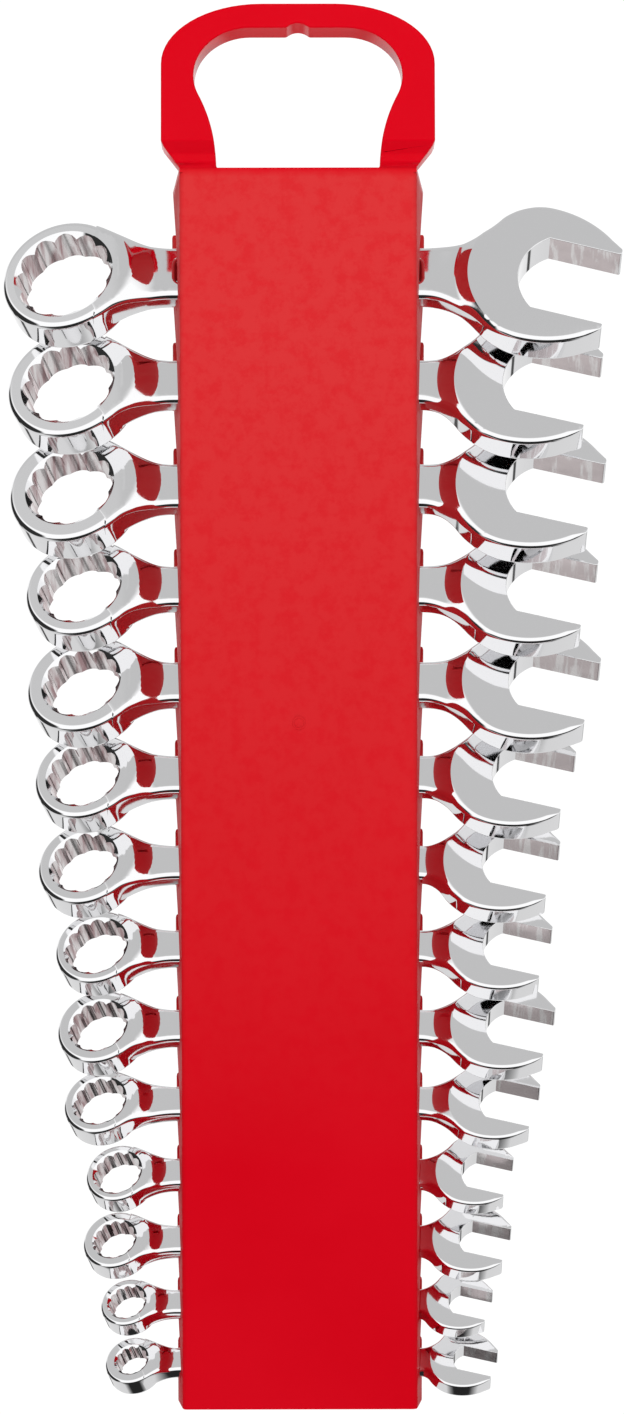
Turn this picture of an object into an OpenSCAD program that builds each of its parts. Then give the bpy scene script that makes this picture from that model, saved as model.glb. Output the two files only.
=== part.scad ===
// Wrench set with holder: fourteen short combination wrenches in a moulded
// channel that hangs by its handle. X runs along the wrenches, the smooth web
// faces -Y, and the origin is the top of the hanging notch.

/* [Holder web and walls] */
// Width of the web at its top end
web_w_top = 52.1; // [50:0.1:56]
// Width of the web at its bottom end
web_w_bottom = 50.4; // [48:0.1:55]
// Height of the web
web_h = 270; // [262:1:300]
// Thickness of the web
web_t = 2.4; // [1.6:0.1:3.5]
// Thickness of each side wall
wall_t = 2.2; // [1.6:0.1:3]
// Depth of the side walls at the top, from the web's face
wall_depth_top = 33; // [31:0.5:40]
// Depth of the side walls at the bottom, from the web's face
wall_depth_bottom = 19; // [18:0.5:30]
// Outward flare of each side wall towards the back, in degrees
wall_flare = 4.6; // [0:0.1:8]
// Radius of the channel's outer corners
outer_r = 1.3; // [0.4:0.1:2]
// Radius of the channel's inner corners
inner_r = 1.5; // [0.4:0.1:3]

/* [Holder handle] */
// Outer width of the handle
handle_w = 60; // [59:0.2:70]
// Height of the handle above the web
handle_rise = 35.6; // [33:0.2:45]
// Thickness of the handle from front to back
handle_t = 10; // [7:0.5:14]
// How far the handle's front stands out from the web's face
handle_front = 4; // [2.5:0.1:6]
// How far the middle step of each leg stands out from the web's face
step_front = 1.4; // [0.6:0.1:2]
// Height of the handle's top bar
bar_h = 5.4; // [5:0.1:8]
// Half length of the straight stretch on top of the handle
top_flat = 8; // [4:0.5:12]
// Height of the rounded outer corners
outer_corner_h = 13.3; // [10:0.1:18]
// Widest inner width of the grip opening
grip_w = 45.7; // [43:0.1:49]
// Half length of the straight stretch above the grip opening
grip_flat = 10.5; // [6:0.5:13]
// Height of the grip opening's rounded upper corners
grip_corner_h = 10.5; // [8:0.1:13]
// Width of the grip opening at the web
grip_w_low = 35.9; // [33:0.1:38]
// Radius where the grip opening starts to close in
waist_r = 9; // [6:0.5:12]
// Height of the stepped foot of each leg above the web
foot_h = 5.3; // [4.5:0.1:6]
// Height at which the foot's middle step starts, as a share of the foot
step_low = 0.19; // [0.1:0.01:0.3]
// Height at which the foot's middle step ends, as a share of the foot
step_high = 0.53; // [0.4:0.01:0.7]
// How far the foot's outer corner is blunted
foot_blunt = 0.5; // [0.2:0.1:1]
// Depth of the handle's root behind the web's top
root_h = 12; // [8:1:14]
// How much shorter the root is at its back
root_slope = 3; // [1:0.5:5]
// Width of the hanging notch
notch_w = 5; // [4.4:0.1:8]
// Depth of the hanging notch
notch_h = 1; // [0.6:0.1:1.5]

/* [Gate mark] */
// Diameter of the round gate mark on the web
gate_d = 2.9; // [2:0.1:5]
// Width of the mark's ring
gate_ring = 0.4; // [0.3:0.1:0.8]
// Depth of the mark's ring
gate_depth = 0.2; // [0.1:0.05:0.5]
// Height of the mark above the web's bottom end
gate_z = 147.8; // [100:1:200]

/* [Slots] */
// Height of the first wrench's middle above the web's bottom end
first_z = 248; // [246:0.5:250]
// Spacing between the first two wrenches
pitch_top = 24.2; // [23.8:0.1:24.3]
// How much each spacing is smaller than the one above it
pitch_step = 0.97; // [0.94:0.01:0.98]
// Depth of the first wrench's middle behind the web's face
seat_y_top = 14; // [13:0.5:16]
// Depth of the last wrench's middle behind the web's face
seat_y_bottom = 11.5; // [11:0.5:12.5]
// Lean of the first wrench from the vertical, in degrees
lean_top = 25; // [24:0.5:30]
// Lean of the last wrench from the vertical, in degrees
lean_bottom = 39; // [34:0.5:40]
// Lean of the slots' mouths from the vertical, in degrees
mouth_lean = 45; // [43:0.5:52]
// Where the slot's rear side bends to the mouth, as a share of half the seat
mouth_bend = 0.35; // [0.1:0.05:0.6]
// Play between a shank and its seat, on each side
seat_play = 0.3; // [0.2:0.05:0.4]

/* [Wrench shape] */
// Turn of the open end out of the wrench's line, in degrees
jaw_turn = 15; // [0:1:20]
// Backward bend of the box end, in degrees
ring_bend = 13; // [5:0.5:14]
// Depth of the open end's throat, as a share of the jaw opening
throat_share = 0.21; // [0.15:0.01:0.3]
// Radius of the throat, as a share of the jaw opening
throat_r_share = 0.63; // [0.55:0.01:0.8]
// How far the jaw tips are blunted, as a share of the head's width
tip_blunt = 0.03; // [0.02:0.005:0.05]
// How much flatter the jaws' outer curve is than the head's round
jaw_flat = 0.28; // [0.2:0.01:0.4]
// Where the box end's bend lies, as a share of the ring's radius from its middle
bend_share = 0.85; // [0.7:0.05:1]
// Length of the slope from the bend to the shank, as a share of the ring's radius
slope_share = 0.6; // [0.4:0.05:0.7]
// Half thickness of the neck at the ring, as a share of the ring's thickness
neck_share = 0.36; // [0.3:0.01:0.4]
// Half thickness of the neck at the bend, as a share of the ring's thickness
bend_t_share = 0.33; // [0.3:0.01:0.36]
// How far the neck's sides run in under the ring's rim, as a share of its radius
neck_sink = 0.07; // [0.04:0.01:0.1]
// Rounding of the ring's rims, as a share of its thickness
rim_share = 0.14; // [0.08:0.01:0.2]
// Where the open end's faces start to rise, as a share of its radius from its middle
ramp_start = 0.88; // [0.8:0.01:1]
// Where the open end reaches its thickness, as a share of its radius from its middle
ramp_end = 0.68; // [0.6:0.01:0.75]
// Height that the box hole's chamfer adds around the twelve points
hole_chamfer = 0.7; // [0.4:0.05:0.9]
// Clearance of jaw and box hole over the nominal size
size_clearance = 0.2; // [0:0.05:0.3]

/* [Wrench sizes] */
// Nominal size of each wrench, from the top slot down
wrench_size = [19, 18, 17, 16, 15, 14, 13, 12, 11, 10, 9, 8, 7, 6]; // each [5:0.5:19]
// Forging that each wrench is made from, counted from the largest
wrench_forging = [0, 1, 1, 2, 2, 3, 4, 5, 5, 6, 7, 7, 8, 8]; // each [0:1:8]
// How far each wrench has slid to the right in its slots
wrench_slide = [0, -0.2, 0.3, -0.2, 0.2, 0, 0, -0.2, 0.3, 0, 0.3, -0.3, -0.5, 0.5]; // each [-0.6:0.1:0.6]
// Reach of each forging's box end from the middle of its shank
box_reach = [66, 64.6, 60.4, 58.4, 57.6, 53.5, 51.7, 47.1, 43]; // each [41:0.1:68]
// Reach of each forging's open end from the middle of its shank
jaw_reach = [71.9, 67.7, 66.3, 60.9, 57.3, 55.7, 52.6, 46.4, 42.5]; // each [40:0.1:74]
// Outer diameter of each forging's box end
ring_d = [28.3, 28, 25, 22.2, 21, 18.6, 16.2, 14.3, 11.9]; // each [11:0.1:30]
// Thickness of each forging's box end
ring_t = [9.2, 8.9, 8.4, 7.8, 7.4, 6.8, 6.2, 5.6, 5]; // each [4:0.1:9.3]
// Width of each forging's open end
head_w = [36.5, 35, 32, 29, 27, 24, 21, 18, 15.2]; // each [14:0.1:38]
// Thickness of each forging's open end
head_t = [8.05, 7.6, 7.1, 6.5, 6.1, 5.6, 5, 4.5, 3.9]; // each [3.5:0.05:8.5]
// Width of each forging's shank
shank_w = [13.4, 11.2, 10.2, 9.5, 8.5, 8, 7.3, 6.9, 6.1]; // each [6:0.1:13.6]
// Length of each forging's straight shank
shank_l = [55, 54.6, 54.2, 53.8, 53.4, 53, 52.6, 52.4, 52.4]; // each [50:0.1:56]
// Thickness of each forging's shank
shank_t = [5.6, 5.2, 4.9, 4.6, 4.4, 4.2, 4, 3.8, 3.5]; // each [3.4:0.1:5.7]

/* [Hidden] */
$fn = 72;
red = [0.80, 0.04, 0.09];
chrome = [0.78, 0.78, 0.80];
// Length by which cuts run past a surface
past = 1;
// Steps in a rounded edge
edge_steps = 5;
// Steps in a quarter of a large round
round_steps = 16;
// Height of the notch's top above the web's bottom end, where the origin is
hang_z = web_h + handle_rise - bar_h + notch_h;
last = len(wrench_size) - 1;
// Half angle by which the web narrows towards its bottom end
taper = atan((web_w_top - web_w_bottom) / 2 / web_h);
grip_top = web_h + handle_rise - bar_h;

// Points of an arc around c, from angle a0 to angle a1
function arc(c, r, a0, a1, steps) =
    [for (k = [0:steps]) c + r * [cos(a0 + (a1 - a0) * k / steps), sin(a0 + (a1 - a0) * k / steps)]];
// Points of a quarter ellipse around c, from its right end to its top
function quarter(c, rx, ry) =
    [for (k = [0:round_steps]) c + [rx * cos(90 * k / round_steps), ry * sin(90 * k / round_steps)]];
function mirrored(points) = [for (k = [len(points) - 1:-1:0]) [-points[k][0], points[k][1]]];

// Place and lean of wrench i
function wrench_z(i) = first_z - pitch_top * i + pitch_step * i * (i - 1) / 2;
function wrench_y(i) = seat_y_top + (seat_y_bottom - seat_y_top) * i / last;
function wrench_lean(i) = lean_top + (lean_bottom - lean_top) * i / last;

// Right half of the channel's section
function half_section() =
    let (depth = wall_depth_top + past,
         slope = tan(wall_flare),
         inset = wall_t / cos(wall_flare),
         half_w = web_w_bottom / 2,
         oc = [half_w + outer_r * slope - outer_r / cos(wall_flare), outer_r],
         iy = web_t + inner_r,
         ic = [half_w + iy * slope - inset - inner_r / cos(wall_flare), iy])
    concat([[-past, 0]],
           arc(oc, outer_r, -90, -wall_flare, edge_steps),
           [[half_w + depth * slope, depth], [half_w + depth * slope - inset, depth]],
           arc(ic, inner_r, -wall_flare, -90, edge_steps),
           [[-past, web_t]]);

// Turns a drawing of depth and height into a prism across the whole width
module across(width) {
    rotate([90, 0, 90])
        translate([0, 0, -width / 2])
            linear_extrude(width)
                children();
}

// Turns a drawing of width and height into a plate from depth y0 to y1
module upright(y0, y1) {
    translate([0, y1, 0])
        rotate([90, 0, 0])
            linear_extrude(y1 - y0)
                children();
}

// Outline of one slot: the seat of the leaning shank and the mouth to the back
module slot_outline(i) {
    f = wrench_forging[i];
    lean = wrench_lean(i);
    mid = [wrench_y(i), wrench_z(i)];
    along = [sin(lean), cos(lean)];
    out = [-cos(lean), sin(lean)];
    half_w = shank_w[f] / 2 + seat_play;
    half_t = shank_t[f] / 2 + seat_play;
    way = 2 * wall_depth_top * [sin(mouth_lean), cos(mouth_lean)];
    bend = mid - mouth_bend * half_w * along - half_t * out;
    top_front = mid + half_w * along + half_t * out;
    polygon([mid - half_w * along + half_t * out, mid - half_w * along - half_t * out,
             bend, bend + way, top_front + way, top_front]);
}

// Channel: web and side walls, with the side walls cut to depth and slotted
module channel() {
    difference() {
        intersection() {
            for (side = [0, 1])
                mirror([side, 0, 0])
                    rotate([0, taper, 0])
                        translate([0, 0, -past])
                            linear_extrude(web_h + 2 * past)
                                polygon(half_section());
            across(2 * handle_w)
                polygon([[0, 0], [wall_depth_bottom, 0], [wall_depth_top, web_h], [0, web_h]]);
        }
        for (i = [0:last])
            across(2 * handle_w)
                slot_outline(i);
    }
}

// Outer outline of the handle, down to the web
module handle_outline() {
    half_w = handle_w / 2;
    corner = [top_flat, web_h + handle_rise - outer_corner_h];
    half = concat([[web_w_top / 2, web_h - past], [web_w_top / 2, web_h]],
                  [[half_w - foot_blunt, web_h + foot_h - 2 * foot_blunt], [half_w, web_h + foot_h]],
                  quarter(corner, half_w - top_flat, outer_corner_h));
    polygon(concat(half, mirrored(half)));
}

// Outline of the grip opening: round above, closing in towards the web
module grip_outline() {
    half_w = grip_w / 2;
    corner_z = grip_top - grip_corner_h;
    inward = (grip_w - grip_w_low) / 2;
    fall = corner_z - web_h;
    // Two arcs of equal turn that step in by inward while falling to the web
    turn = 2 * atan(inward / fall);
    low_r = fall / sin(turn) - waist_r;
    half = concat([[half_w - inward, web_h - 2 * past]],
                  arc([half_w - inward + low_r, web_h], low_r, 180, 180 - turn, round_steps),
                  arc([half_w - waist_r, corner_z], waist_r, -turn, 0, round_steps),
                  quarter([grip_flat, corner_z], half_w - grip_flat, grip_corner_h));
    polygon(concat(half, mirrored(half)));
}

// Handle: a flat bow whose legs step back to the web's face
module handle() {
    difference() {
        intersection() {
            upright(-handle_front, handle_t - handle_front)
                difference() {
                    handle_outline();
                    grip_outline();
                }
            across(2 * handle_w)
                polygon([[0, web_h - past], [0, web_h],
                         [-step_front, web_h + step_low * foot_h],
                         [-step_front, web_h + step_high * foot_h],
                         [-handle_front, web_h + foot_h], [-handle_front, web_h + handle_rise + past],
                         [handle_t - handle_front, web_h + handle_rise + past],
                         [handle_t - handle_front, web_h - past]]);
        }
        // Hanging notch
        notch_r = (notch_h + notch_w * notch_w / 4 / notch_h) / 2;
        translate([0, handle_t, hang_z - notch_r])
            rotate([90, 0, 0])
                cylinder(r = notch_r, h = 2 * handle_t);
    }
    // Root of each leg behind the top of the web
    for (side = [0, 1])
        mirror([side, 0, 0])
            translate([(grip_w_low + web_w_top - 2 * wall_t) / 4, 0, 0])
                across((web_w_top - 2 * wall_t - grip_w_low) / 2 + wall_t)
                    polygon([[web_t / 2, web_h], [handle_t - handle_front, web_h],
                             [handle_t - handle_front, web_h - root_h + root_slope],
                             [web_t / 2, web_h - root_h]]);
}

module holder() {
    color(red)
        translate([0, 0, -hang_z])
            difference() {
                union() {
                    channel();
                    handle();
                }
                // Ring that the injection gate leaves on the web
                translate([0, gate_depth, gate_z])
                    rotate([90, 0, 0])
                        difference() {
                            cylinder(d = gate_d, h = gate_depth + past);
                            translate([0, 0, -past])
                                cylinder(d = gate_d - 2 * gate_ring, h = gate_depth + 3 * past);
                        }
            }
}

// Radius of the fillet from a shank of half width h to a round of radius r,
// where the straight shank stops run before the round's middle
function neck_r(h, r, run) = (run * run - r * r + h * h) / 2 / (r - h);
// Turn of that fillet, where it meets the round
function neck_turn(h, r, run) = atan2(h + neck_r(h, r, run), run);
// The fillet itself, with the round's middle at 0 and the shank towards +X
function neck_arc(h, r, run) =
    let (fr = neck_r(h, r, run))
    arc([run, h + fr], fr, 180 + neck_turn(h, r, run), 270, round_steps);

// Reach of the jaw tips from the head's middle, along the jaws
function tip_reach(r, gap) =
    sqrt(pow(r * (1 + jaw_flat), 2) - pow(gap / 2 + jaw_flat * r, 2)) - 2 * tip_blunt * r;

// Upper jaw from the head's round to the middle of the throat, along the jaws
function upper_jaw(r, gap) =
    let (outer_r = r * (1 + jaw_flat),
         tip = tip_reach(r, gap),
         throat_r = throat_r_share * gap,
         throat_x = throat_r - throat_share * gap,
         reach = asin(gap / 2 / throat_r))
    concat(arc([0, -jaw_flat * r], outer_r, 90, acos(tip / outer_r), round_steps),
           [[tip, gap / 2]],
           arc([throat_x, 0], throat_r, 180 - reach, 180, round_steps));

// Plan of a wrench without its box end: shank, necks, head and jaws
function plan(h, half_l, ring_x, ring_r, head_x, head_r, gap) =
    let (ring_side = [for (p = neck_arc(h, ring_r, -ring_x - half_l)) [ring_x + p[0], p[1]]],
         head_side = [for (p = neck_arc(h, head_r, head_x - half_l)) [head_x - p[0], p[1]]],
         head_turn = 180 - neck_turn(h, head_r, head_x - half_l),
         jaw = upper_jaw(head_r, gap),
         jaws = concat(jaw, [for (k = [len(jaw) - 2:-1:0]) [jaw[k][0], -jaw[k][1]]]),
         turned = [for (p = jaws) [head_x + p[0] * cos(jaw_turn) + p[1] * sin(jaw_turn),
                                   p[1] * cos(jaw_turn) - p[0] * sin(jaw_turn)]],
         upper = concat([[ring_x, ring_side[0][1]]], ring_side,
                        [for (k = [len(head_side) - 1:-1:0]) head_side[k]],
                        arc([head_x, 0], head_r, head_turn, 90 - jaw_turn, round_steps)),
         lower = concat(arc([head_x, 0], head_r, -90 - jaw_turn, -head_turn, round_steps),
                        [for (p = head_side) [p[0], -p[1]]],
                        [for (k = [len(ring_side) - 1:-1:0]) [ring_side[k][0], -ring_side[k][1]]],
                        [[ring_x, -ring_side[0][1]]]))
    concat(upper, turned, lower);

// Round blank of the box end, with rounded rims
module ring_blank(r, t, edge) {
    rotate_extrude()
        polygon(concat([[0, -t / 2]],
                       arc([r - edge, edge - t / 2], edge, -90, 0, edge_steps),
                       arc([r - edge, t / 2 - edge], edge, 0, 90, edge_steps),
                       [[0, t / 2]]));
}

// Twelve-point hole with a chamfer at both faces
module box_hole(size, t) {
    corner_r = size / 2 / cos(30);
    mouth_r = corner_r + hole_chamfer;
    for (turn = [0, 30])
        rotate(turn)
            translate([0, 0, -t])
                cylinder(r = corner_r, h = 2 * t, $fn = 6);
    for (side = [0, 1])
        mirror([0, 0, side])
            translate([0, 0, t / 2 - hole_chamfer])
                cylinder(r1 = corner_r - hole_chamfer, r2 = mouth_r + hole_chamfer, h = 2 * hole_chamfer);
}

// Wrench i, lying flat: X along it, Y across it, Z out of its face
module flat_wrench(i) {
    f = wrench_forging[i];
    gap = wrench_size[i] + size_clearance;
    ring_r = ring_d[f] / 2;
    head_r = head_w[f] / 2;
    half_w = shank_w[f] / 2;
    half_t = shank_t[f] / 2;
    ring_x = ring_r * cos(ring_bend) + ring_t[f] / 2 * sin(ring_bend) - box_reach[f];
    head_x = jaw_reach[f] - tip_reach(head_r, gap) * cos(jaw_turn) - gap / 2 * sin(jaw_turn);
    bend_x = ring_x + bend_share * ring_r;
    slope_x = bend_x + slope_share * ring_r;
    ring_z = -(bend_x - ring_x) * sin(ring_bend);
    neck_t = neck_share * ring_t[f];
    bend_t = bend_t_share * ring_t[f];
    rise_x = head_x - ramp_start * head_r;
    full_x = head_x - ramp_end * head_r;
    end_x = 2 * jaw_reach[f];
    half_head_t = head_t[f] / 2;
    difference() {
        union() {
            intersection() {
                translate([0, 0, -ring_t[f]])
                    linear_extrude(2 * ring_t[f])
                        polygon(plan(half_w, shank_l[f] / 2, ring_x, (1 - neck_sink) * ring_r,
                                     head_x, head_r, gap));
                rotate([90, 0, 0])
                    translate([0, 0, -head_w[f]])
                        linear_extrude(2 * head_w[f])
                            polygon([[ring_x, ring_z - neck_t], [bend_x, -bend_t], [slope_x, -half_t],
                                     [rise_x, -half_t], [full_x, -half_head_t], [end_x, -half_head_t],
                                     [end_x, half_head_t], [full_x, half_head_t], [rise_x, half_t],
                                     [slope_x, half_t], [bend_x, bend_t], [ring_x, ring_z + neck_t]]);
            }
            translate([ring_x, 0, ring_z])
                rotate([0, -ring_bend, 0])
                    ring_blank(ring_r, ring_t[f], rim_share * ring_t[f]);
        }
        translate([ring_x, 0, ring_z])
            rotate([0, -ring_bend, 0])
                box_hole(gap, ring_t[f]);
    }
}

// Wrench i, leaning in its slots
module wrench(i) {
    color(chrome)
        translate([wrench_slide[i], wrench_y(i), wrench_z(i) - hang_z])
            rotate([90 - wrench_lean(i), 0, 0])
                flat_wrench(i);
}

holder();
wrench(0);  // wrench_19mm
wrench(1);  // wrench_18mm
wrench(2);  // wrench_17mm
wrench(3);  // wrench_16mm
wrench(4);  // wrench_15mm
wrench(5);  // wrench_14mm
wrench(6);  // wrench_13mm
wrench(7);  // wrench_12mm
wrench(8);  // wrench_11mm
wrench(9);  // wrench_10mm
wrench(10);  // wrench_9mm
wrench(11);  // wrench_8mm
wrench(12);  // wrench_7mm
wrench(13);  // wrench_6mm
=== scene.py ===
"""Wrench set with holder: chromed combination wrenches in a moulded red channel.

Lengths are in millimetres until a mesh is finished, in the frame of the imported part:
X runs along the wrenches, the smooth web faces -Y, and the origin is the top of the hanging notch.
"""
import math
from collections import namedtuple

import bmesh
import bpy
import numpy as np
from mathutils import Matrix, Vector
from mathutils.geometry import delaunay_2d_cdt

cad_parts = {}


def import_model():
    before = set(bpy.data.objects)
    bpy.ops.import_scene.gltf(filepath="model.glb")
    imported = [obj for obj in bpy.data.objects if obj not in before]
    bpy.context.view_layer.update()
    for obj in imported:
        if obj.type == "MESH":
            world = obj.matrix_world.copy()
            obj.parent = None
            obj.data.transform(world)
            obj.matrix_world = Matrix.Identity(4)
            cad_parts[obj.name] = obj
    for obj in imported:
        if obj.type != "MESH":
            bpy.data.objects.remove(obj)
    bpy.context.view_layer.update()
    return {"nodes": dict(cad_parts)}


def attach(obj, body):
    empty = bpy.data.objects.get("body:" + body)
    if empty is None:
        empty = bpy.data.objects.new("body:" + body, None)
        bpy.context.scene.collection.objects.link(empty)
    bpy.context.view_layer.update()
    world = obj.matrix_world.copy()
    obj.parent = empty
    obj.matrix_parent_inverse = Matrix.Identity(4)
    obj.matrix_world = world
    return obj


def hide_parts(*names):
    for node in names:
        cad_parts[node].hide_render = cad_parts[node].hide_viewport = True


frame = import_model()

MM = 0.001

# Holder: heights are above the web's bottom end
HANG_Z = 301.2
WEB_H = 270
GATE_Z = 147.8
GATE_R, GATE_RIDGE = 1.25, 0.2
# The solid's own gate mark is taken out this far around it and this deep
GATE_CLEAR, GATE_DEPTH = 2, 1
# Rounding of the moulding's edges, its steps, and the distance below which points are merged
EDGE_R, EDGE_SEGMENTS, SHORTEST = 0.4, 3, 0.05
# Faces that turn by less than the first angle become one, and edges below the second stay as they are
FLAT_TURN, EDGE_TURN = math.radians(0.6), math.radians(30)
# Where edges lie too close to be rounded: beyond this X, in front of this Y, and this far
# below and above the handle's foot
CROWDED_X, CROWDED_Y, CROWDED_BELOW, CROWDED_ABOVE = 24, 1.3, 1.3, 0.5

# Edges above these angles in degrees are shaded sharp
SHARP_HOLDER, SHARP_WRENCH = 35, 28

# Slots, from the top one down
FIRST_Z, PITCH_TOP, PITCH_STEP = 248, 24.2, 0.97
SEAT_Y_TOP, SEAT_Y_BOTTOM = 14, 11.5
LEAN_TOP, LEAN_BOTTOM = 25, 39

# Wrench shape
JAW_TURN = math.radians(15)
RING_BEND = math.radians(13)
THROAT_SHARE, THROAT_R_SHARE = 0.21, 0.63
TIP_BLUNT, JAW_FLAT = 0.03, 0.28
# The body bends at this share of the ring's radius, softly over this length on both sides
BEND_SHARE, BEND_SOFT = 0.85, 2.0
# The neck's outline stays inside the ring's by this share
NECK_SINK = 0.012
# Rounding of the edges of ring, shank, head and jaws, as shares of their thickness
RIM_SHARE, SHANK_EDGE, HEAD_EDGE, JAW_EDGE = 0.14, 0.27, 0.15, 0.02
# The neck falls from the ring's rim to the shank, and lies a little towards the front face
NECK_FROM, NECK_RUN, NECK_POWER, NECK_LIFT, NECK_DROP = 0.97, 0.42, 1.25, 0.09, 0.04
# Inside the ring the neck goes on to an end that the hole cuts away
NECK_WRAP, NECK_END = 0.15, 0.45
# The head's flat ends towards the shank in a crest, and a short slope leads down to the shank
CREST_AT, CREST_R, CREST_POWER = 0.84, 1.02, 1.4
# The slope ends in a shallow dip of the shank's faces
DIP, DIP_RUN = 0.3, 5
# Above the shank the head's side is a smaller round that leaves the head's circle near its top
SHOULDER_R, SHOULDER_TOP = 0.66, math.radians(80)
HOLE_CHAMFER, CHAMFER_SLOPE, SIZE_CLEARANCE = 0.3, 0.8, 0.2
# The jaw tips' corners: longest cut, its share of the tip's width, and the space left beside it
TIP_CUT, TIP_SHARE, TIP_SPACE = 1.8, 0.4, 0.2
# How fast the rounding of the edge grows away from the tip
TIP_FADE = 0.3

# Reach of both ends from the middle of the shank, sizes, and the run of the slope beside the head
Forging = namedtuple(
    "Forging", "box_reach jaw_reach ring_d ring_t head_w head_t shank_w shank_l shank_t slope")
FORGINGS = [
    Forging(66, 71.9, 28.3, 9.2, 36.5, 8.05, 13.4, 55, 5.6, 3),
    Forging(64.6, 67.7, 28, 8.9, 35, 7.6, 11.2, 54.6, 5.2, 4),
    Forging(60.4, 66.3, 25, 8.4, 32, 7.1, 10.2, 54.2, 4.9, 4),
    Forging(58.4, 60.9, 22.2, 7.8, 29, 6.5, 9.5, 53.8, 4.6, 4),
    Forging(57.6, 57.3, 21, 7.4, 27, 6.1, 8.5, 53.4, 4.4, 4),
    Forging(53.5, 55.7, 18.6, 6.8, 24, 5.6, 8, 53, 4.2, 4),
    Forging(51.7, 52.6, 16.2, 6.2, 21, 5, 7.3, 52.6, 4, 4),
    Forging(47.1, 46.4, 14.3, 5.6, 18, 4.5, 6.9, 52.4, 3.8, 4),
    Forging(43, 42.5, 11.9, 5, 15.2, 3.9, 6.1, 52.4, 3.5, 4),
]
# Nominal size, forging and slide to the right of each wrench, from the top slot down
WRENCHES = [(19, 0, 0), (18, 1, -0.2), (17, 1, 0.3), (16, 2, -0.2), (15, 2, 0.2), (14, 3, 0), (13, 4, 0),
            (12, 5, -0.2), (11, 5, 0.3), (10, 6, 0), (9, 7, 0.3), (8, 7, -0.3), (7, 8, -0.5), (6, 8, 0.5)]

# Sunk panel of the largest wrench's shank, the only one that reaches past the side walls
Panel = namedtuple("Panel", "half_l half_w corner_r depth slope")
SUNK_PANEL = Panel(27.7, 3.4, 1.6, 0.8, 2.2)

# The largest wrench's open end stands a little lower than its shank
HEAD_SAG, SAG_FROM, SAG_TO, SAG_TURN = 1.0, 28, 46, math.radians(1.2)


# Meshes

def new_object(name, mesh):
    obj = bpy.data.objects.new(name, mesh)
    bpy.context.scene.collection.objects.link(obj)
    return obj


def mesh_from(name, points, faces):
    mesh = bpy.data.meshes.new(name)
    mesh.from_pydata([tuple(p) for p in points], [], faces)
    bm = bmesh.new()
    bm.from_mesh(mesh)
    bmesh.ops.recalc_face_normals(bm, faces=bm.faces)
    bm.to_mesh(mesh)
    bm.free()
    return mesh


def apply_modifiers(obj):
    """Replaces the object's mesh by what its modifiers make of it."""
    graph = bpy.context.evaluated_depsgraph_get()
    made = bpy.data.meshes.new_from_object(obj.evaluated_get(graph))
    obj.modifiers.clear()
    old = obj.data
    obj.data = made
    bpy.data.meshes.remove(old)


def smooth(obj, angle):
    """Smooth shading with sharp edges above an angle in degrees, and flats that stay flat."""
    obj.data.shade_smooth()
    obj.data.set_sharp_from_angle(angle=math.radians(angle))
    weighted = obj.modifiers.new("weighted", "WEIGHTED_NORMAL")
    weighted.keep_sharp = True
    weighted.weight = 60
    apply_modifiers(obj)


# Outline of a wrench

def arc(cx, cy, r, a0, a1, edge, step=0.6):
    """Points of an arc in radians, each with the rounding of its edge."""
    n = max(6, math.ceil(abs(a1 - a0) * r / step))
    turns = [a0 + (a1 - a0) * k / n for k in range(n + 1)]
    return [(cx + r * math.cos(a), cy + r * math.sin(a), edge) for a in turns]


def line(a, b, edge, step=0.9):
    """Points between a and b, without the two."""
    n = max(1, math.ceil(math.dist(a[:2], b[:2]) / step))
    return [(a[0] + (b[0] - a[0]) * k / n, a[1] + (b[1] - a[1]) * k / n, edge) for k in range(1, n)]


def fillet(h, r, run):
    """Radius and turn of the fillet from a straight at a height h to a round, run away from its middle."""
    fr = (run * run - r * r + h * h) / 2 / (r - h)
    return fr, math.atan2(h + fr, run)


def hole_mouth(gap):
    """Radius of the box hole at its chamfered mouth."""
    return gap / 2 / math.cos(math.pi / 6) + HOLE_CHAMFER


def tip_reach(r, gap):
    """Distance from the head's middle to the jaws' tips, along the jaws."""
    return math.sqrt((r * (1 + JAW_FLAT)) ** 2 - (gap / 2 + JAW_FLAT * r) ** 2) - 2 * TIP_BLUNT * r


def corner(a, b, c, cut, edge):
    """Rounds the corner b between a and c with a curve that starts a cut away from it."""
    start = [b[k] + (a[k] - b[k]) * cut / math.dist(a[:2], b[:2]) for k in (0, 1)]
    end = [b[k] + (c[k] - b[k]) * cut / math.dist(c[:2], b[:2]) for k in (0, 1)]
    steps = [k / 5 for k in range(6)]
    return [tuple((1 - t) ** 2 * start[k] + 2 * t * (1 - t) * b[k] + t * t * end[k] for k in (0, 1)) + (edge,)
            for t in steps]


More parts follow.
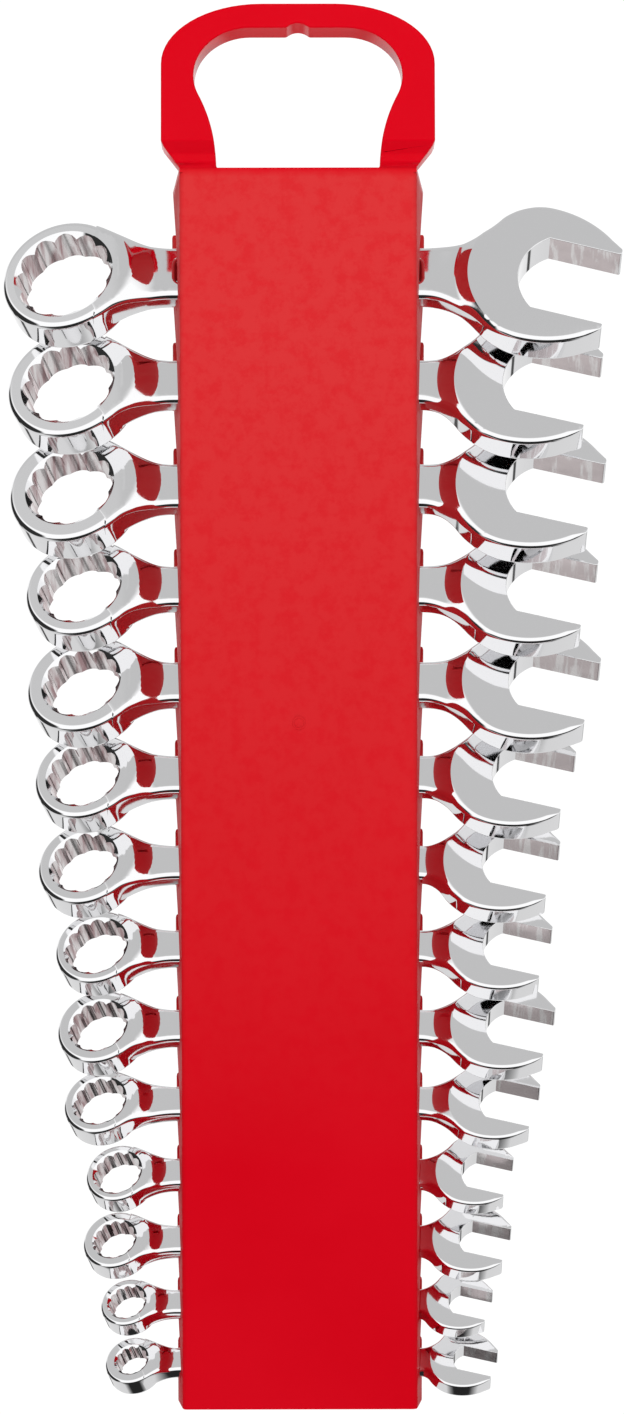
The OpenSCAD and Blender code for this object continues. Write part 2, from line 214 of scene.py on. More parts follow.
def upper_jaw(r, gap, edge, thin):
    """Points from the head's round over the jaw's tip to the middle of the throat, along the jaws."""
    outer = r * (1 + JAW_FLAT)
    tip = tip_reach(r, gap)
    throat_r = THROAT_R_SHARE * gap
    throat_x = throat_r - THROAT_SHARE * gap
    reach = math.asin(gap / 2 / throat_r)
    back = arc(0, -JAW_FLAT * r, outer, math.pi / 2, math.acos(tip / outer), edge)
    # The rounding of the edge fades towards the tip
    back = [(x, y, min(edge, thin + TIP_FADE * math.dist((x, y), back[-1][:2]))) for x, y, _ in back]
    tip_end = (tip, gap / 2)
    throat = arc(throat_x, 0, throat_r, math.pi - reach, math.pi, thin)
    cut = min(TIP_CUT, TIP_SHARE * (back[-1][1] - gap / 2))
    while math.dist(back[-2][:2], (tip, back[-1][1])) < cut + TIP_SPACE:
        back = back[:-2] + back[-1:]
    outer_end = corner(back[-2], back[-1], tip_end, cut, thin)
    inner_end = corner(back[-1], tip_end, throat[0], cut, thin)
    tip_line = line(outer_end[-1], inner_end[0], thin, step=0.5)
    jaw_line = line(inner_end[-1], throat[0], thin)
    return back[:-1] + outer_end + tip_line + inner_end + jaw_line + throat


def outline(f, gap, ring_x, head_x):
    """The wrench without its ring, as a closed loop of points with the rounding of their edge."""
    h, half_l = f.shank_w / 2, f.shank_l / 2
    ring_r, head_r = (1 - NECK_SINK) * f.ring_d / 2, f.head_w / 2
    shank_edge, head_edge, thin = SHANK_EDGE * f.shank_t, HEAD_EDGE * f.head_t, JAW_EDGE * f.head_t
    rim = RIM_SHARE * f.ring_t

    def blend(points, start, end):
        n = len(points) - 1
        return [(x, y, start + (end - start) * k / n) for k, (x, y, _) in enumerate(points)]

    def mirrored(points):
        return [(x, -y, e) for x, y, e in reversed(points)]

    def head_fillet(r, turn):
        curve = arc(half_l, h + r, r, 1.5 * math.pi, 2 * math.pi - turn, shank_edge)
        return blend(curve, shank_edge, head_edge)

    rr, rt = fillet(h, ring_r, -ring_x - half_l)
    ring_fillet = arc(-half_l, h + rr, rr, math.pi + rt, 1.5 * math.pi, rim)
    ring_side = arc(ring_x, 0, ring_r, rt + NECK_WRAP, rt, rim)[:1] + blend(ring_fillet, rim, shank_edge)
    # Above the shank
    small_r = SHOULDER_R * head_r
    small_x = head_x + (head_r - small_r) * math.cos(SHOULDER_TOP)
    small_y = (head_r - small_r) * math.sin(SHOULDER_TOP)
    sr, st = fillet(h - small_y, small_r, small_x - half_l)
    upper_side = head_fillet(sr, st)
    shoulder = arc(small_x, small_y, small_r, math.pi - st, SHOULDER_TOP, head_edge)[1:] \
        + arc(head_x, 0, head_r, SHOULDER_TOP, math.pi / 2 - JAW_TURN, head_edge)[1:-1]
    upper = ring_side + line(ring_side[-1], upper_side[0], shank_edge) + upper_side + shoulder
    jaw = upper_jaw(head_r, gap, head_edge, thin)
    c, s = math.cos(JAW_TURN), math.sin(JAW_TURN)
    jaws = [(head_x + x * c + y * s, y * c - x * s, e) for x, y, e in jaw + mirrored(jaw[:-1])]
    # Below the shank
    hr, ht = fillet(h, head_r, head_x - half_l)
    lower_side = head_fillet(hr, ht)
    low_shoulder = arc(head_x, 0, head_r, -math.pi / 2 - JAW_TURN, -math.pi + ht, head_edge)
    lower_half = ring_side + line(ring_side[-1], lower_side[0], shank_edge) + lower_side
    lower = low_shoulder[1:-1] + mirrored(lower_half)
    end = arc(ring_x, 0, NECK_END * ring_r, -rt - NECK_WRAP, rt + NECK_WRAP, rim, step=2.0)
    points = upper + jaws + lower + end
    return np.array(points[::-1])


def inset_directions(xy):
    """Inward direction of each point of a closed outline, up to twice as long at corners."""
    ahead = np.roll(xy, -1, 0) - xy
    ahead /= np.linalg.norm(ahead, axis=1)[:, None]
    behind = np.roll(ahead, 1, 0)
    normal = np.stack([-(ahead + behind)[:, 1], (ahead + behind)[:, 0]], 1)
    normal /= np.linalg.norm(normal, axis=1)[:, None]
    side = np.stack([-ahead[:, 1], ahead[:, 0]], 1)
    return normal / np.maximum((normal * side).sum(1), 0.5)[:, None]


def inside_distance(points, loop):
    """Distance of points to a closed loop, negative outside it."""
    a, b = loop, np.roll(loop, -1, 0)
    ab = b - a
    away = np.full(len(points), 1e9)
    crossings = np.zeros(len(points), int)
    for k in range(len(loop)):
        ap = points - a[k]
        t = np.clip((ap @ ab[k]) / (ab[k] @ ab[k]), 0, 1)
        away = np.minimum(away, np.hypot(*(ap - t[:, None] * ab[k]).T))
        spans = (a[k, 1] > points[:, 1]) != (b[k, 1] > points[:, 1])
        if spans.any():
            x = a[k, 0] + (points[:, 1] - a[k, 1]) * ab[k, 0] / (ab[k, 1] or 1e-12)
            crossings += spans & (points[:, 0] < x)
    return np.where(crossings % 2 == 1, away, -away)


# Faces of a wrench

def crest(f, head_x):
    """Centre and radius of the head's crest."""
    head_r = f.head_w / 2
    away = (CREST_R - CREST_AT) * head_r
    return head_x + away * math.cos(JAW_TURN), -away * math.sin(JAW_TURN), CREST_R * head_r


def relief(f, ring_x, head_x, panel):
    """Functions of x, y: the middle surface and the half thickness of the wrench's body."""
    ring_r = f.ring_d / 2
    bend_x = ring_x + BEND_SHARE * ring_r
    half_t, half_head = f.shank_t / 2, f.head_t / 2
    rise = (1 - NECK_DROP) * f.ring_t / 2 - half_t
    lift = NECK_LIFT * f.ring_t / 2
    crest_x, crest_y, crest_r = crest(f, head_x)

    def fall(x, y):
        u = np.clip((np.hypot(x - ring_x, y) - NECK_FROM * ring_r) / (NECK_RUN * ring_r), 0, 1)
        return np.where(x < 0, (1 - u) ** NECK_POWER, 0)

    def middle(x, y):
        t = np.clip((bend_x + BEND_SOFT - x) / (2 * BEND_SOFT), 0, None)
        bent = np.where(t < 1, BEND_SOFT * t * t, bend_x - x)
        return lift * fall(x, y) - math.tan(RING_BEND) * bent

    def half(x, y):
        away = np.hypot(x - crest_x, y - crest_y) - crest_r
        s, u = np.clip(away / f.slope, 0, 1), np.clip((away - f.slope) / DIP_RUN, 0, 1)
        value = half_t + rise * fall(x, y) - DIP * (1 - u * u * (3 - 2 * u))
        value = value + (half_head - half_t + DIP) * (1 - s) ** CREST_POWER
        if panel:
            dx = np.abs(x) - panel.half_l + panel.corner_r
            dy = np.abs(y) - panel.half_w + panel.corner_r
            corner_out = np.hypot(np.maximum(dx, 0), np.maximum(dy, 0))
            out = corner_out + np.minimum(np.maximum(dx, dy), 0) - panel.corner_r
            k = np.clip(-out / panel.slope, 0, 1)
            value = value - panel.depth * k * (2 - k)
        return value

    return middle, half


# Steps of a rounded edge, and spacing of the points in the faces
EDGE_STEPS = 6
GRID_STEP, ROW_SHARE, PANEL_STEP, LONG_STEP, ARC_STEP = 0.8, 0.87, 0.35, 1.5, 0.4
# Arcs of points beside the crest reach this far round it, at these shares of the slope and the dip
ARC_HALF = 1.8
SLOPE_POINTS = (-0.1, 0, 0.07, 0.15, 0.25, 0.35, 0.5, 0.65, 0.8, 0.9)
DIP_POINTS = (0, 0.1, 0.25, 0.4, 0.55, 0.7, 0.85, 1)
# Points at a panel's ends: from this far inside to this far outside, and past its lower side
END_IN, END_OUT, END_PAST = 3, 0.6, 0.4
# Points at a panel's sides: from this far inside to this far outside
SIDE_IN, SIDE_OUT = 0.9, 0.3
# The grid of points reaches this far past the neck's slope
GRID_PAST = 1
# No point of a face lies closer to its rim
RIM_SPACE = 0.22
# A machined face of the jaws leans by less than this, and lies at most this far outside the gap
UPRIGHT, GAP_SPARE = 0.2, 0.05
# The machined metal's place among a wrench's materials
MACHINED = 1


def panel_points(panel):
    """Points along the slopes of a sunk panel."""
    made = []
    ends = np.arange(panel.half_l - END_IN, panel.half_l + END_OUT, PANEL_STEP)
    width = np.arange(-panel.half_w - END_PAST, panel.half_w + END_OUT, PANEL_STEP)
    for side in (-1, 1):
        ex, ey = np.meshgrid(ends * side, width)
        made.append(np.column_stack([ex.ravel(), ey.ravel()]))
    long = np.arange(-panel.half_l + END_IN, panel.half_l - END_IN, LONG_STEP)
    rows = np.arange(panel.half_w - SIDE_IN, panel.half_w + SIDE_OUT, PANEL_STEP)
    for y in np.concatenate([rows, -rows]):
        made.append(np.column_stack([long, np.full(len(long), y)]))
    return made


def face_points(f, ring_x, head_x, panel, rim):
    """Points inside the rim of a face, close together where the face slopes."""
    gx, gy = np.meshgrid(np.arange(rim[:, 0].min(), rim[:, 0].max(), GRID_STEP),
                         np.arange(rim[:, 1].min(), rim[:, 1].max(), GRID_STEP * ROW_SHARE))
    gx[1::2] += GRID_STEP / 2
    grid = np.column_stack([gx.ravel(), gy.ravel()])
    made = [grid[grid[:, 0] < ring_x + (NECK_FROM + NECK_RUN) * f.ring_d / 2 + GRID_PAST]]
    crest_x, crest_y, crest_r = crest(f, head_x)
    for away in [f.slope * k for k in SLOPE_POINTS] + [f.slope + DIP_RUN * k for k in DIP_POINTS]:
        r = crest_r + away
        turns = math.pi - JAW_TURN + np.arange(-ARC_HALF, ARC_HALF, ARC_STEP / r)
        made.append(np.column_stack([crest_x + r * np.cos(turns), crest_y + r * np.sin(turns)]))
    if panel:
        made += panel_points(panel)
    made = np.concatenate(made)
    return made[inside_distance(made, rim) > RIM_SPACE]


def machine_jaws(mesh, gap, head_x, head_r):
    """Gives the jaws' straight faces the machined metal."""
    c, s = math.cos(JAW_TURN), math.sin(JAW_TURN)
    throat_r = THROAT_R_SHARE * gap
    throat_end = throat_r - THROAT_SHARE * gap - math.sqrt(throat_r ** 2 - gap ** 2 / 4)
    for face in mesh.polygons:
        x, y = face.center.x - head_x, face.center.y
        straight = throat_end < x * c - y * s < head_r
        beside_gap = abs(x * s + y * c) < gap / 2 + GAP_SPARE
        if straight and beside_gap and abs(face.normal.z) < UPRIGHT:
            face.material_index = MACHINED


def body_mesh(f, gap, ring_x, head_x, panel):
    """Shank, necks and open end, with rounded edges and sloped faces."""
    plan = outline(f, gap, ring_x, head_x)
    xy, edge = plan[:, :2], plan[:, 2]
    inward = inset_directions(xy)
    middle, half = relief(f, ring_x, head_x, panel)
    n = len(xy)
    points, faces = [], []
    # Loops of points by side and step, from the outline's wall to the rim of the face
    loops = {}
    for k in range(EDGE_STEPS + 1):
        turn = math.pi / 2 * k / EDGE_STEPS
        at = xy + inward * (edge * (1 - math.cos(turn)))[:, None]
        drop = edge * (1 - math.sin(turn))
        for side in (1, -1):
            z = middle(at[:, 0], at[:, 1]) + side * (half(at[:, 0], at[:, 1]) - drop)
            loops[side, k] = len(points)
            points += np.column_stack([at, z]).tolist()
    for j in range(n):
        i = (j + 1) % n
        wall, back = loops[1, 0], loops[-1, 0]
        faces.append((back + j, back + i, wall + i, wall + j))
        for k in range(EDGE_STEPS):
            a, b = loops[1, k], loops[1, k + 1]
            faces.append((a + j, a + i, b + i, b + j))
            a, b = loops[-1, k], loops[-1, k + 1]
            faces.append((a + i, a + j, b + j, b + i))
    # Both faces: the innermost loop and the points inside it
    rim = xy + inward * edge[:, None]
    flat = np.concatenate([rim, face_points(f, ring_x, head_x, panel, rim)])
    made = delaunay_2d_cdt([Vector(p) for p in flat], [(j, (j + 1) % n) for j in range(n)], [], 1, 1e-5)
    out_points, out_faces, origins = made[0], made[2], made[3]
    tops, bottoms = {}, {}
    for j, p in enumerate(out_points):
        old = [o for o in origins[j] if o < n]
        if old:
            tops[j], bottoms[j] = loops[1, EDGE_STEPS] + old[0], loops[-1, EDGE_STEPS] + old[0]
            continue
        x, y = np.array(p.x), np.array(p.y)
        m, t = float(middle(x, y)), float(half(x, y))
        tops[j] = len(points)
        points.append((p.x, p.y, m + t))
        bottoms[j] = len(points)
        points.append((p.x, p.y, m - t))
    for face in out_faces:
        faces.append(tuple(tops[j] for j in face))
        faces.append(tuple(bottoms[j] for j in reversed(face)))
    mesh = mesh_from("body", points, faces)
    machine_jaws(mesh, gap, head_x, f.head_w / 2)
    return mesh


# Box end

RING_STEPS, RIM_STEPS = 240, 7
# The hole's lobes: how round they are, and the share of a twelve-point hole's depth that they have
LOBE_POWER, LOBE_SHARE = 0.9, 0.94
# Marks of the broach: depth, number round the hole and shift
BROACH_MARKS = [(0.018, 41, 0), (0.012, 67, 1), (0.008, 97, 2)]
# How far the hole's cutter widens past its mouth
CUTTER_OVER = 0.6


def star_radius(turn, half_gap):
    """Radius of a twelve-point hole: round grooves between ridges, with fine marks of the broach."""
    ridge, groove = half_gap / math.cos(math.pi / 12), half_gap / math.cos(math.pi / 6)
    lobe = abs(math.cos(6 * turn)) ** LOBE_POWER
    marks = sum(depth * math.sin(count * turn + shift) for depth, count, shift in BROACH_MARKS)
    return ridge + (LOBE_SHARE * groove - LOBE_SHARE * ridge) * lobe + marks


def turned(name, columns, wall=None):
    """Closed mesh from columns of (radius, height) over a full turn. Row `wall` is machined."""
    points, faces = [], []
    for k, column in enumerate(columns):
        turn = 2 * math.pi * k / len(columns)
        points += [(a * math.cos(turn), a * math.sin(turn), z) for a, z in column]
    rows = len(columns[0])
    starts = range(0, len(points), rows)
    for k, a in enumerate(starts):
        b = starts[(k + 1) % len(columns)]
        faces += [(a + j, a + j + 1, b + j + 1, b + j) for j in range(rows - 1)]
    side_faces = len(faces)
    faces.append(tuple(starts))
    faces.append(tuple(a + rows - 1 for a in reversed(starts)))
    mesh = mesh_from(name, points, faces)
    if wall is not None:
        for k in range(wall, side_faces, rows - 1):
            mesh.polygons[k].material_index = MACHINED
    return mesh


def ring_mesh(f):
    """Box end around the origin, still without its hole: a disc with rounded rims."""
    r, half_t = f.ring_d / 2, f.ring_t / 2
    rim = RIM_SHARE * f.ring_t
    turns = [math.pi / 2 * k / RIM_STEPS for k in range(RIM_STEPS + 1)]
    upper = [(r - rim * (1 - math.cos(a)), half_t - rim * (1 - math.sin(a))) for a in turns]
    column = [(a, -z) for a, z in reversed(upper)] + upper
    return turned("ring", [column] * RING_STEPS)


def hole_mesh(f, gap):
    """What the twelve-point hole and its chamfers take out of the ring."""
    half_t, mouth = f.ring_t / 2, hole_mouth(gap)
    outside = (mouth + CUTTER_OVER, half_t + CHAMFER_SLOPE * CUTTER_OVER)
    columns = []
    for k in range(RING_STEPS):
        star = star_radius(2 * math.pi * k / RING_STEPS, gap / 2)
        upper = [(star, half_t - CHAMFER_SLOPE * (mouth - star)), outside]
        columns.append([(a, -z) for a, z in reversed(upper)] + upper)
    return turned("hole", columns, wall=1)


# Whole wrench

def combine(first, second, operation):
    """Joins the second object to the first, or cuts it out, and removes it."""
    change = first.modifiers.new("combine", "BOOLEAN")
    change.operation = operation
    change.solver = "MANIFOLD"
    change.object = second
    apply_modifiers(first)
    bpy.data.objects.remove(second)


def settle(mesh):
    """Bends the largest wrench's neck as the photograph shows it."""
    for v in mesh.vertices:
        t = min(max((v.co.x - SAG_FROM) / (SAG_TO - SAG_FROM), 0), 1)
        v.co.y -= HEAD_SAG * t * t * (3 - 2 * t) + max(v.co.x - SAG_TO, 0) * math.tan(SAG_TURN)


def place(i, slide):
    """Matrix from a wrench that lies flat to its place in the holder, in metres."""
    last = len(WRENCHES) - 1
    z = FIRST_Z - PITCH_TOP * i + PITCH_STEP * i * (i - 1) / 2 - HANG_Z
    y = SEAT_Y_TOP + (SEAT_Y_BOTTOM - SEAT_Y_TOP) * i / last
    lean = LEAN_TOP + (LEAN_BOTTOM - LEAN_TOP) * i / last
    upright = Matrix.Rotation(math.radians(90 - lean), 4, "X")
    return Matrix.Scale(MM, 4) @ Matrix.Translation((slide, y, z)) @ upright


def wrench(i, materials):
    """The wrench of slot i, which takes the place of its solid."""
    size, forging, slide = WRENCHES[i]
    f = FORGINGS[forging]
    gap = size + SIZE_CLEARANCE
    ring_r, head_r = f.ring_d / 2, f.head_w / 2
    ring_x = ring_r * math.cos(RING_BEND) + f.ring_t / 2 * math.sin(RING_BEND) - f.box_reach
    head_x = f.jaw_reach - tip_reach(head_r, gap) * math.cos(JAW_TURN) - gap / 2 * math.sin(JAW_TURN)
    panel = SUNK_PANEL if i == 0 else None
    name = "wrench_%dmm" % size
    bend = Matrix.Translation((ring_x, 0, -BEND_SHARE * ring_r * math.sin(RING_BEND))) \
        @ Matrix.Rotation(-RING_BEND, 4, "Y")
    body, ring, hole = body_mesh(f, gap, ring_x, head_x, panel), ring_mesh(f), hole_mesh(f, gap)
    # All three have the materials before they are combined, so that the machined faces keep theirs
    for mesh in (body, ring, hole):
        for material in materials:
            mesh.materials.append(material)
    ring.transform(bend)
    hole.transform(bend)
    obj = new_object(name + "_chrome", body)
    combine(obj, new_object("ring", ring), "UNION")
    combine(obj, new_object("hole", hole), "DIFFERENCE")
    if i == 0:
        settle(obj.data)
    obj.data.transform(place(i, slide))
    smooth(obj, SHARP_WRENCH)
    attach(obj, "root")
    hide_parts(name)


# Holder

def holder(material):
    """The moulding with its edges rounded, from the frame's own solid."""
    mesh = frame["nodes"]["holder"].data.copy()
    obj = new_object("holder_moulding", mesh)
    bm = bmesh.new()
    bm.from_mesh(mesh)
    bmesh.ops.remove_doubles(bm, verts=bm.verts, dist=SHORTEST * MM)
    # The gate mark's groove gives way to a plain web, for the finer mark that follows
    gate = Vector((0, 0, (GATE_Z - HANG_Z) * MM))
    near = [v for v in bm.verts if (v.co - gate).length < GATE_CLEAR * MM and v.co.y < GATE_DEPTH * MM]
    bmesh.ops.delete(bm, geom=near, context="VERTS")
    bmesh.ops.holes_fill(bm, edges=[e for e in bm.edges if e.is_boundary], sides=0)
    bmesh.ops.dissolve_limit(bm, angle_limit=FLAT_TURN, verts=bm.verts, edges=bm.edges)
    weight = bm.edges.layers.float.new("bevel_weight_edge")
    foot = (WEB_H - HANG_Z) * MM

    def crowded(point):
        in_corner = abs(point.x) > CROWDED_X * MM and point.y < CROWDED_Y * MM
        return in_corner and -CROWDED_BELOW * MM < point.z - foot < CROWDED_ABOVE * MM

    for e in bm.edges:
        kept = any(crowded(v.co) for v in e.verts) or e.calc_face_angle(0) < EDGE_TURN
        e[weight] = 0 if kept else 1
    bm.to_mesh(mesh)
    bm.free()
    bevel = obj.modifiers.new("bevel", "BEVEL")
    bevel.width = EDGE_R * MM
    bevel.segments = EDGE_SEGMENTS
    bevel.limit_method = "WEIGHT"
    bevel.use_clamp_overlap = False
    bevel.harden_normals = False
    apply_modifiers(obj)
    smooth(obj, SHARP_HOLDER)
    obj.data.materials.clear()
    obj.data.materials.append(material)
    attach(obj, "root")
    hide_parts("holder")


def gate_mark(material):
    """Fine ridge that the injection gate leaves on the web."""
    bpy.ops.mesh.primitive_torus_add(major_radius=GATE_R * MM, minor_radius=GATE_RIDGE * MM,
                                     major_segments=64, minor_segments=12,
                                     location=(0, 0, (GATE_Z - HANG_Z) * MM), rotation=(math.pi / 2, 0, 0))
    obj = bpy.context.object
    obj.name = "gate_mark"
    obj.data.transform(obj.matrix_world)
    obj.matrix_world = Matrix.Identity(4)
    obj.data.shade_smooth()
    obj.data.materials.append(material)
    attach(obj, "root")


# Nodes

def feed(tree, socket, value):
    """Gives a socket its value, which is another node's output, a number or a colour."""
    if isinstance(value, bpy.types.NodeSocket):
        tree.links.new(value, socket)
    else:
        socket.default_value = value


def axes(tree, where):
    """Outputs X, Y and Z of a vector."""
    node = tree.nodes.new("ShaderNodeSeparateXYZ")
    tree.links.new(where, node.inputs["Vector"])
    return node.outputs


def noise(tree, where, scale, detail, rough=0.5):
    node = tree.nodes.new("ShaderNodeTexNoise")
    node.inputs["Scale"].default_value = scale
    node.inputs["Detail"].default_value = detail
    node.inputs["Roughness"].default_value = rough
    tree.links.new(where, node.inputs["Vector"])
    return node.outputs["Fac"]


def ramp(tree, value, low, high, at=(0.35, 0.65), kind="LINEAR"):
    """Goes from low to high while the value goes over the two stops of `at`."""
    node = tree.nodes.new("ShaderNodeMapRange")
    node.interpolation_type = kind
    node.inputs["From Min"].default_value, node.inputs["From Max"].default_value = at
    node.inputs["To Min"].default_value, node.inputs["To Max"].default_value = low, high
    tree.links.new(value, node.inputs["Value"])
    return node.outputs["Result"]


def calculate(tree, operation, *values):
    node = tree.nodes.new("ShaderNodeMath")
    node.operation = operation
    for socket, value in zip(node.inputs, values):
        feed(tree, socket, value)
    return node.outputs["Value"]


def mixed(tree, factor, first, second):
    """The first colour where the factor is 0, the second where it is 1."""
    node = tree.nodes.new("ShaderNodeMix")
    node.data_type = "RGBA"
    for name, value in (("Factor", factor), ("A", first), ("B", second)):
        feed(tree, node.inputs[name], value)
    return node.outputs["Result"]


def bump(tree, shader, height, strength, distance):
    node = tree.nodes.new("ShaderNodeBump")
    node.inputs["Strength"].default_value = strength
    node.inputs["Distance"].default_value = distance
    tree.links.new(height, node.inputs["Height"])
    tree.links.new(node.outputs["Normal"], shader.inputs["Normal"])


# Materials

def material_nodes(name):
    """New material, its tree and shader, and the place on the object in metres."""
    made = bpy.data.materials.new(name)
    made.use_nodes = True
    tree = made.node_tree
    shader = tree.nodes["Principled BSDF"]
    where = tree.nodes.new("ShaderNodeTexCoord")
    return made, tree, shader, where.outputs["Object"]


def chrome():
    made, tree, shader, where = material_nodes("polished_chrome")
    shader.inputs["Metallic"].default_value = 1
    shader.inputs["Base Color"].default_value = (0.86, 0.86, 0.87, 1)
    # Faint haze in patches, as polishing leaves it
    haze_and_painted_sheen = ramp(tree, noise(tree, where, scale=90, detail=4), 0.035, 0.075)
    tree.links.new(haze_and_painted_sheen, shader.inputs["Roughness"])
    bump(tree, shader, noise(tree, where, scale=220, detail=2), strength=0.12, distance=0.00005)
    return made


def machined_chrome():
    """Plating over the machined jaws and holes: duller and a little rough, with painted reflections of the
    red holder in its colour.
    """
    made, tree, shader, where = material_nodes("machined_chrome")
    shader.inputs["Metallic"].default_value = 1
    # Painted reflections of the red holder: dark reddish streaks that run through the wrench's thickness like
    # the cutter's marks
    turn = tree.nodes.new("ShaderNodeVectorRotate")
    turn.rotation_type = "X_AXIS"
    turn.inputs["Angle"].default_value = math.radians((LEAN_TOP + LEAN_BOTTOM) / 2 - 90)
    tree.links.new(where, turn.inputs["Vector"])
    stretch = tree.nodes.new("ShaderNodeMapping")
    stretch.inputs["Scale"].default_value = (1, 1, 0.08)
    tree.links.new(turn.outputs["Vector"], stretch.inputs["Vector"])
    painted_reflection_streaks = ramp(tree, noise(tree, stretch.outputs["Vector"], scale=520, detail=4, rough=0.6),
                   0, 1, (0.38, 0.60))
    # The painted reflections are fainter on the jaws, which are on the right
    on_jaws = ramp(tree, axes(tree, where)["X"], 0, 0.6, (-0.001, 0.001))
    light = calculate(tree, "MAXIMUM", painted_reflection_streaks, on_jaws)
    # Painted reflection: dark reddish where the streaks lie, pale plating between them
    metal_with_painted_reflections = mixed(tree, light, (0.40, 0.265, 0.275, 1), (0.82, 0.79, 0.79, 1))
    tree.links.new(metal_with_painted_reflections, shader.inputs["Base Color"])
    dull = ramp(tree, noise(tree, where, scale=300, detail=4), 0.10, 0.22)
    tree.links.new(dull, shader.inputs["Roughness"])
    bump(tree, shader, noise(tree, where, scale=2600, detail=3), strength=0.25, distance=0.00004)
    return made


def red_plastic():
    made, tree, shader, where = material_nodes("red_moulded_plastic")
    tone = ramp(tree, noise(tree, where, scale=28, detail=3), 0, 1)
    red = mixed(tree, tone, (0.62, 0.0006, 0.008, 1), (0.64, 0.0016, 0.010, 1))
    # The channel has a fine grain and a painted highlight of the lamp above, paler and pinker towards its top
    # and in blotches, and the handle above it is glossier
    z = axes(tree, where)["Z"]
    foot = (WEB_H - HANG_Z) * MM
    channel = ramp(tree, z, 1, 0, (foot - 0.002, foot))
    # Painted highlight: it grows from nothing low on the channel to full near its top
    height = ramp(tree, z, 0, 1, (-0.25, -0.07))
    sheen_blotches = ramp(tree, noise(tree, where, scale=240, detail=6, rough=0.72), 0.95, 0.62, (0.46, 0.60))
    haze_and_painted_sheen = calculate(tree, "MULTIPLY", calculate(tree, "MULTIPLY", channel, height), sheen_blotches)
    # The red turns pale pink where the painted highlight lies
    tree.links.new(mixed(tree, haze_and_painted_sheen, red, (0.64, 0.034, 0.036, 1)), shader.inputs["Base Color"])
    dull = ramp(tree, noise(tree, where, scale=55, detail=6, rough=0.65), 0.28, 0.42)
    grain = calculate(tree, "MULTIPLY_ADD", channel, dull, 0.15)
    tree.links.new(grain, shader.inputs["Roughness"])
    shader.inputs["IOR"].default_value = 1.5
    shader.inputs["Specular IOR Level"].default_value = 0.035
    bump(tree, shader, noise(tree, where, scale=1400, detail=2), strength=0.06, distance=0.00003)
    return made


# Surroundings

# Brightness of the studio by height, from straight down (-1) to straight up (1)
FRONT_GREYS = [(-0.56, 0.02), (-0.46, 1.15), (0.66, 1.15), (0.78, 0.78), (0.85, 0.60)]
BACK_GREYS = [(-0.93, 0.02), (-0.84, 0.75), (-0.26, 0.80), (-0.235, 0.08), (-0.175, 0.08), (-0.15, 0.85),
              (0.50, 1.15), (0.68, 0.62)]
# Where the front gives way to the back, and where the flag beside the box ends sets in
FRONT_TO_BACK, FLAG_EDGE = (-0.45, 0.05), (-0.76, -0.84)
FLAG_COLOUR = (0.03, 0.03, 0.03, 1)
# Brightness of the plain white that diffuse surfaces and the camera see instead of the studio
WORLD_ON_DIFFUSE, WORLD_SEEN = 0.55, 1.05
# Floor in metres
FLOOR_Z, FLOOR_HALF = -3, 6


def greys(tree, z, stops):
    """Grey that follows the stops of (height, brightness)."""
    node = tree.nodes.new("ShaderNodeValToRGB")
    tree.links.new(ramp(tree, z, 0, 1, (-1, 1)), node.inputs["Fac"])
    elements = node.color_ramp.elements
    while len(elements) < len(stops):
        elements.new(0.5)
    for element, (height, value) in zip(elements, stops):
        element.position = (height + 1) / 2
        element.color = (value, value, value, 1)
    return node.outputs["Color"]


def instead(tree, shader, ray, brightness):
    """The shader, but plain white of some brightness for one kind of ray."""
    plain = tree.nodes.new("ShaderNodeBackground")
    plain.inputs["Color"].default_value = (1, 1, 1, 1)
    plain.inputs["Strength"].default_value = brightness
    path = tree.nodes.new("ShaderNodeLightPath")
    choose = tree.nodes.new("ShaderNodeMixShader")
    tree.links.new(path.outputs[ray], choose.inputs["Fac"])
    tree.links.new(shader, choose.inputs[1])
    tree.links.new(plain.outputs["Background"], choose.inputs[2])
    return choose.outputs["Shader"]


def world():
    """Studio that the metal reflects: light above, dark low down, with a dark strip behind and a flag."""
    made = bpy.data.worlds.new("studio")
    bpy.context.scene.world = made
    made.use_nodes = True
    tree = made.node_tree
    tree.nodes.clear()
    where = tree.nodes.new("ShaderNodeTexCoord")
    way = axes(tree, where.outputs["Generated"])
    facing = ramp(tree, way["Y"], 0, 1, FRONT_TO_BACK, "SMOOTHSTEP")
    both = mixed(tree, facing, greys(tree, way["Z"], FRONT_GREYS), greys(tree, way["Z"], BACK_GREYS))
    flag = ramp(tree, way["X"], 0, 1, FLAG_EDGE, "SMOOTHSTEP")
    studio = tree.nodes.new("ShaderNodeBackground")
    tree.links.new(mixed(tree, flag, both, FLAG_COLOUR), studio.inputs["Color"])
    shown = instead(tree, studio.outputs["Background"], "Is Diffuse Ray", WORLD_ON_DIFFUSE)
    shown = instead(tree, shown, "Is Camera Ray", WORLD_SEEN)
    output = tree.nodes.new("ShaderNodeOutputWorld")
    tree.links.new(shown, output.inputs["Surface"])


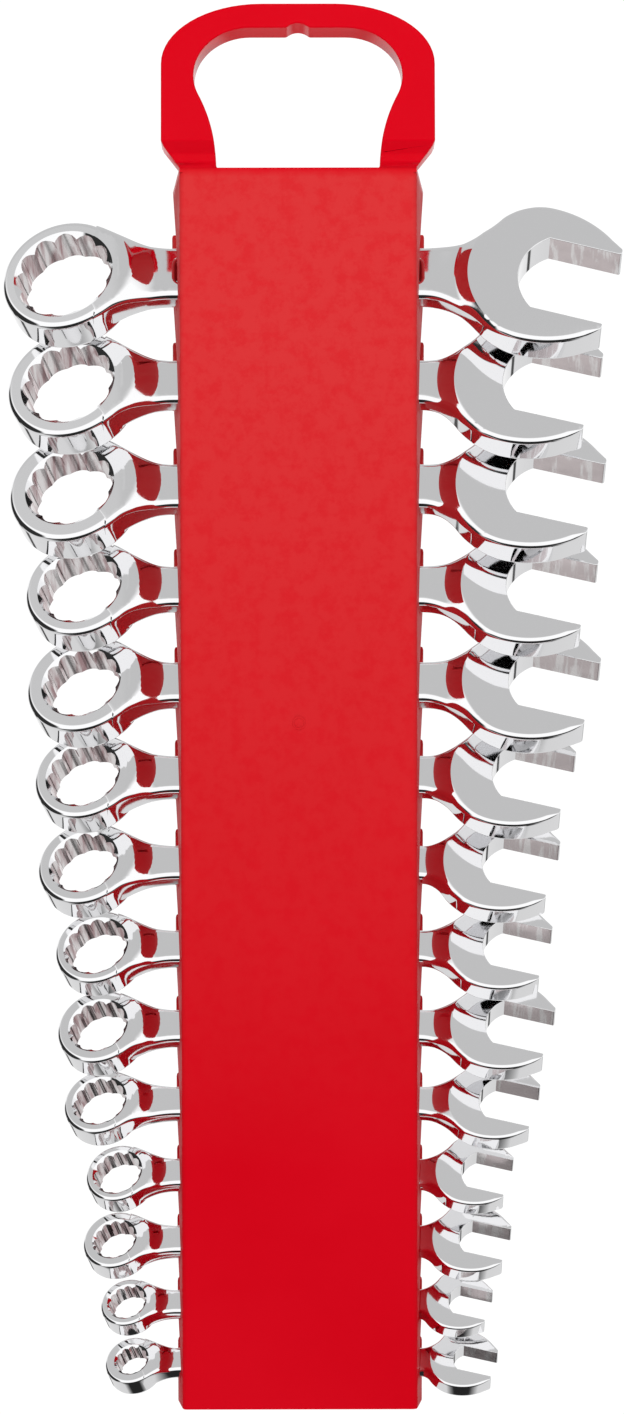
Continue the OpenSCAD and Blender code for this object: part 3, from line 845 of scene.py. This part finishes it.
def area_light(name, place_m, aim_m, size_m, watts):
    """Soft round lamp that the metal doesn't mirror."""
    light = bpy.data.lights.new(name, "AREA")
    light.shape = "DISK"
    light.size = size_m
    light.energy = watts
    obj = new_object(name, light)
    obj.location = place_m
    obj.rotation_euler = (Vector(aim_m) - Vector(place_m)).to_track_quat("-Z", "Y").to_euler()
    obj.visible_glossy = False


def floor():
    """Plain pale floor, far below the hanging set."""
    signs = ((-1, -1), (1, -1), (1, 1), (-1, 1))
    corners = [(x * FLOOR_HALF, y * FLOOR_HALF, FLOOR_Z) for x, y in signs]
    obj = new_object("floor", mesh_from("floor", corners, [(0, 1, 2, 3)]))
    pale, _, shader, _ = material_nodes("pale_floor")
    shader.inputs["Base Color"].default_value = (0.9, 0.9, 0.9, 1)
    shader.inputs["Roughness"].default_value = 0.8
    obj.data.materials.append(pale)
    obj.visible_glossy = False


# The photograph's view: 624 x 1414 pixels, a long lens a little below the middle of the set
FRAME_H, FOCAL_PX, SENSOR = 1414, 4150, 24
# Metres in front of the web, and height above the web's bottom end
CAMERA_AWAY, CAMERA_H = 0.9, 87.76
# Turns in degrees
PITCH, YAW, ROLL = 4.04, -0.181, -0.11


def camera():
    data = bpy.data.cameras.new("camera")
    data.sensor_fit = "VERTICAL"
    data.sensor_height = SENSOR
    data.lens = FOCAL_PX / FRAME_H * SENSOR
    obj = new_object("camera", data)
    turn = Matrix.Rotation(math.radians(YAW), 4, "Z") @ Matrix.Rotation(math.radians(90 + PITCH), 4, "X") \
        @ Matrix.Rotation(math.radians(ROLL), 4, "Z")
    obj.matrix_world = Matrix.Translation((0, -CAMERA_AWAY, (CAMERA_H - HANG_Z) * MM)) @ turn
    bpy.context.scene.camera = obj


camera()
world()
floor()
area_light("front_light", place_m=(0, -0.7, 0.45), aim_m=(0, 0, -0.1), size_m=0.5, watts=4.2)
area_light("low_light", place_m=(0, -0.9, -2.7), aim_m=(0, 0, -0.1), size_m=1.2, watts=32)
bpy.context.scene.view_settings.view_transform = "Standard"
red, metals = red_plastic(), (chrome(), machined_chrome())
holder(red)
gate_mark(red)
for number in range(len(WRENCHES)):
    wrench(number, metals)
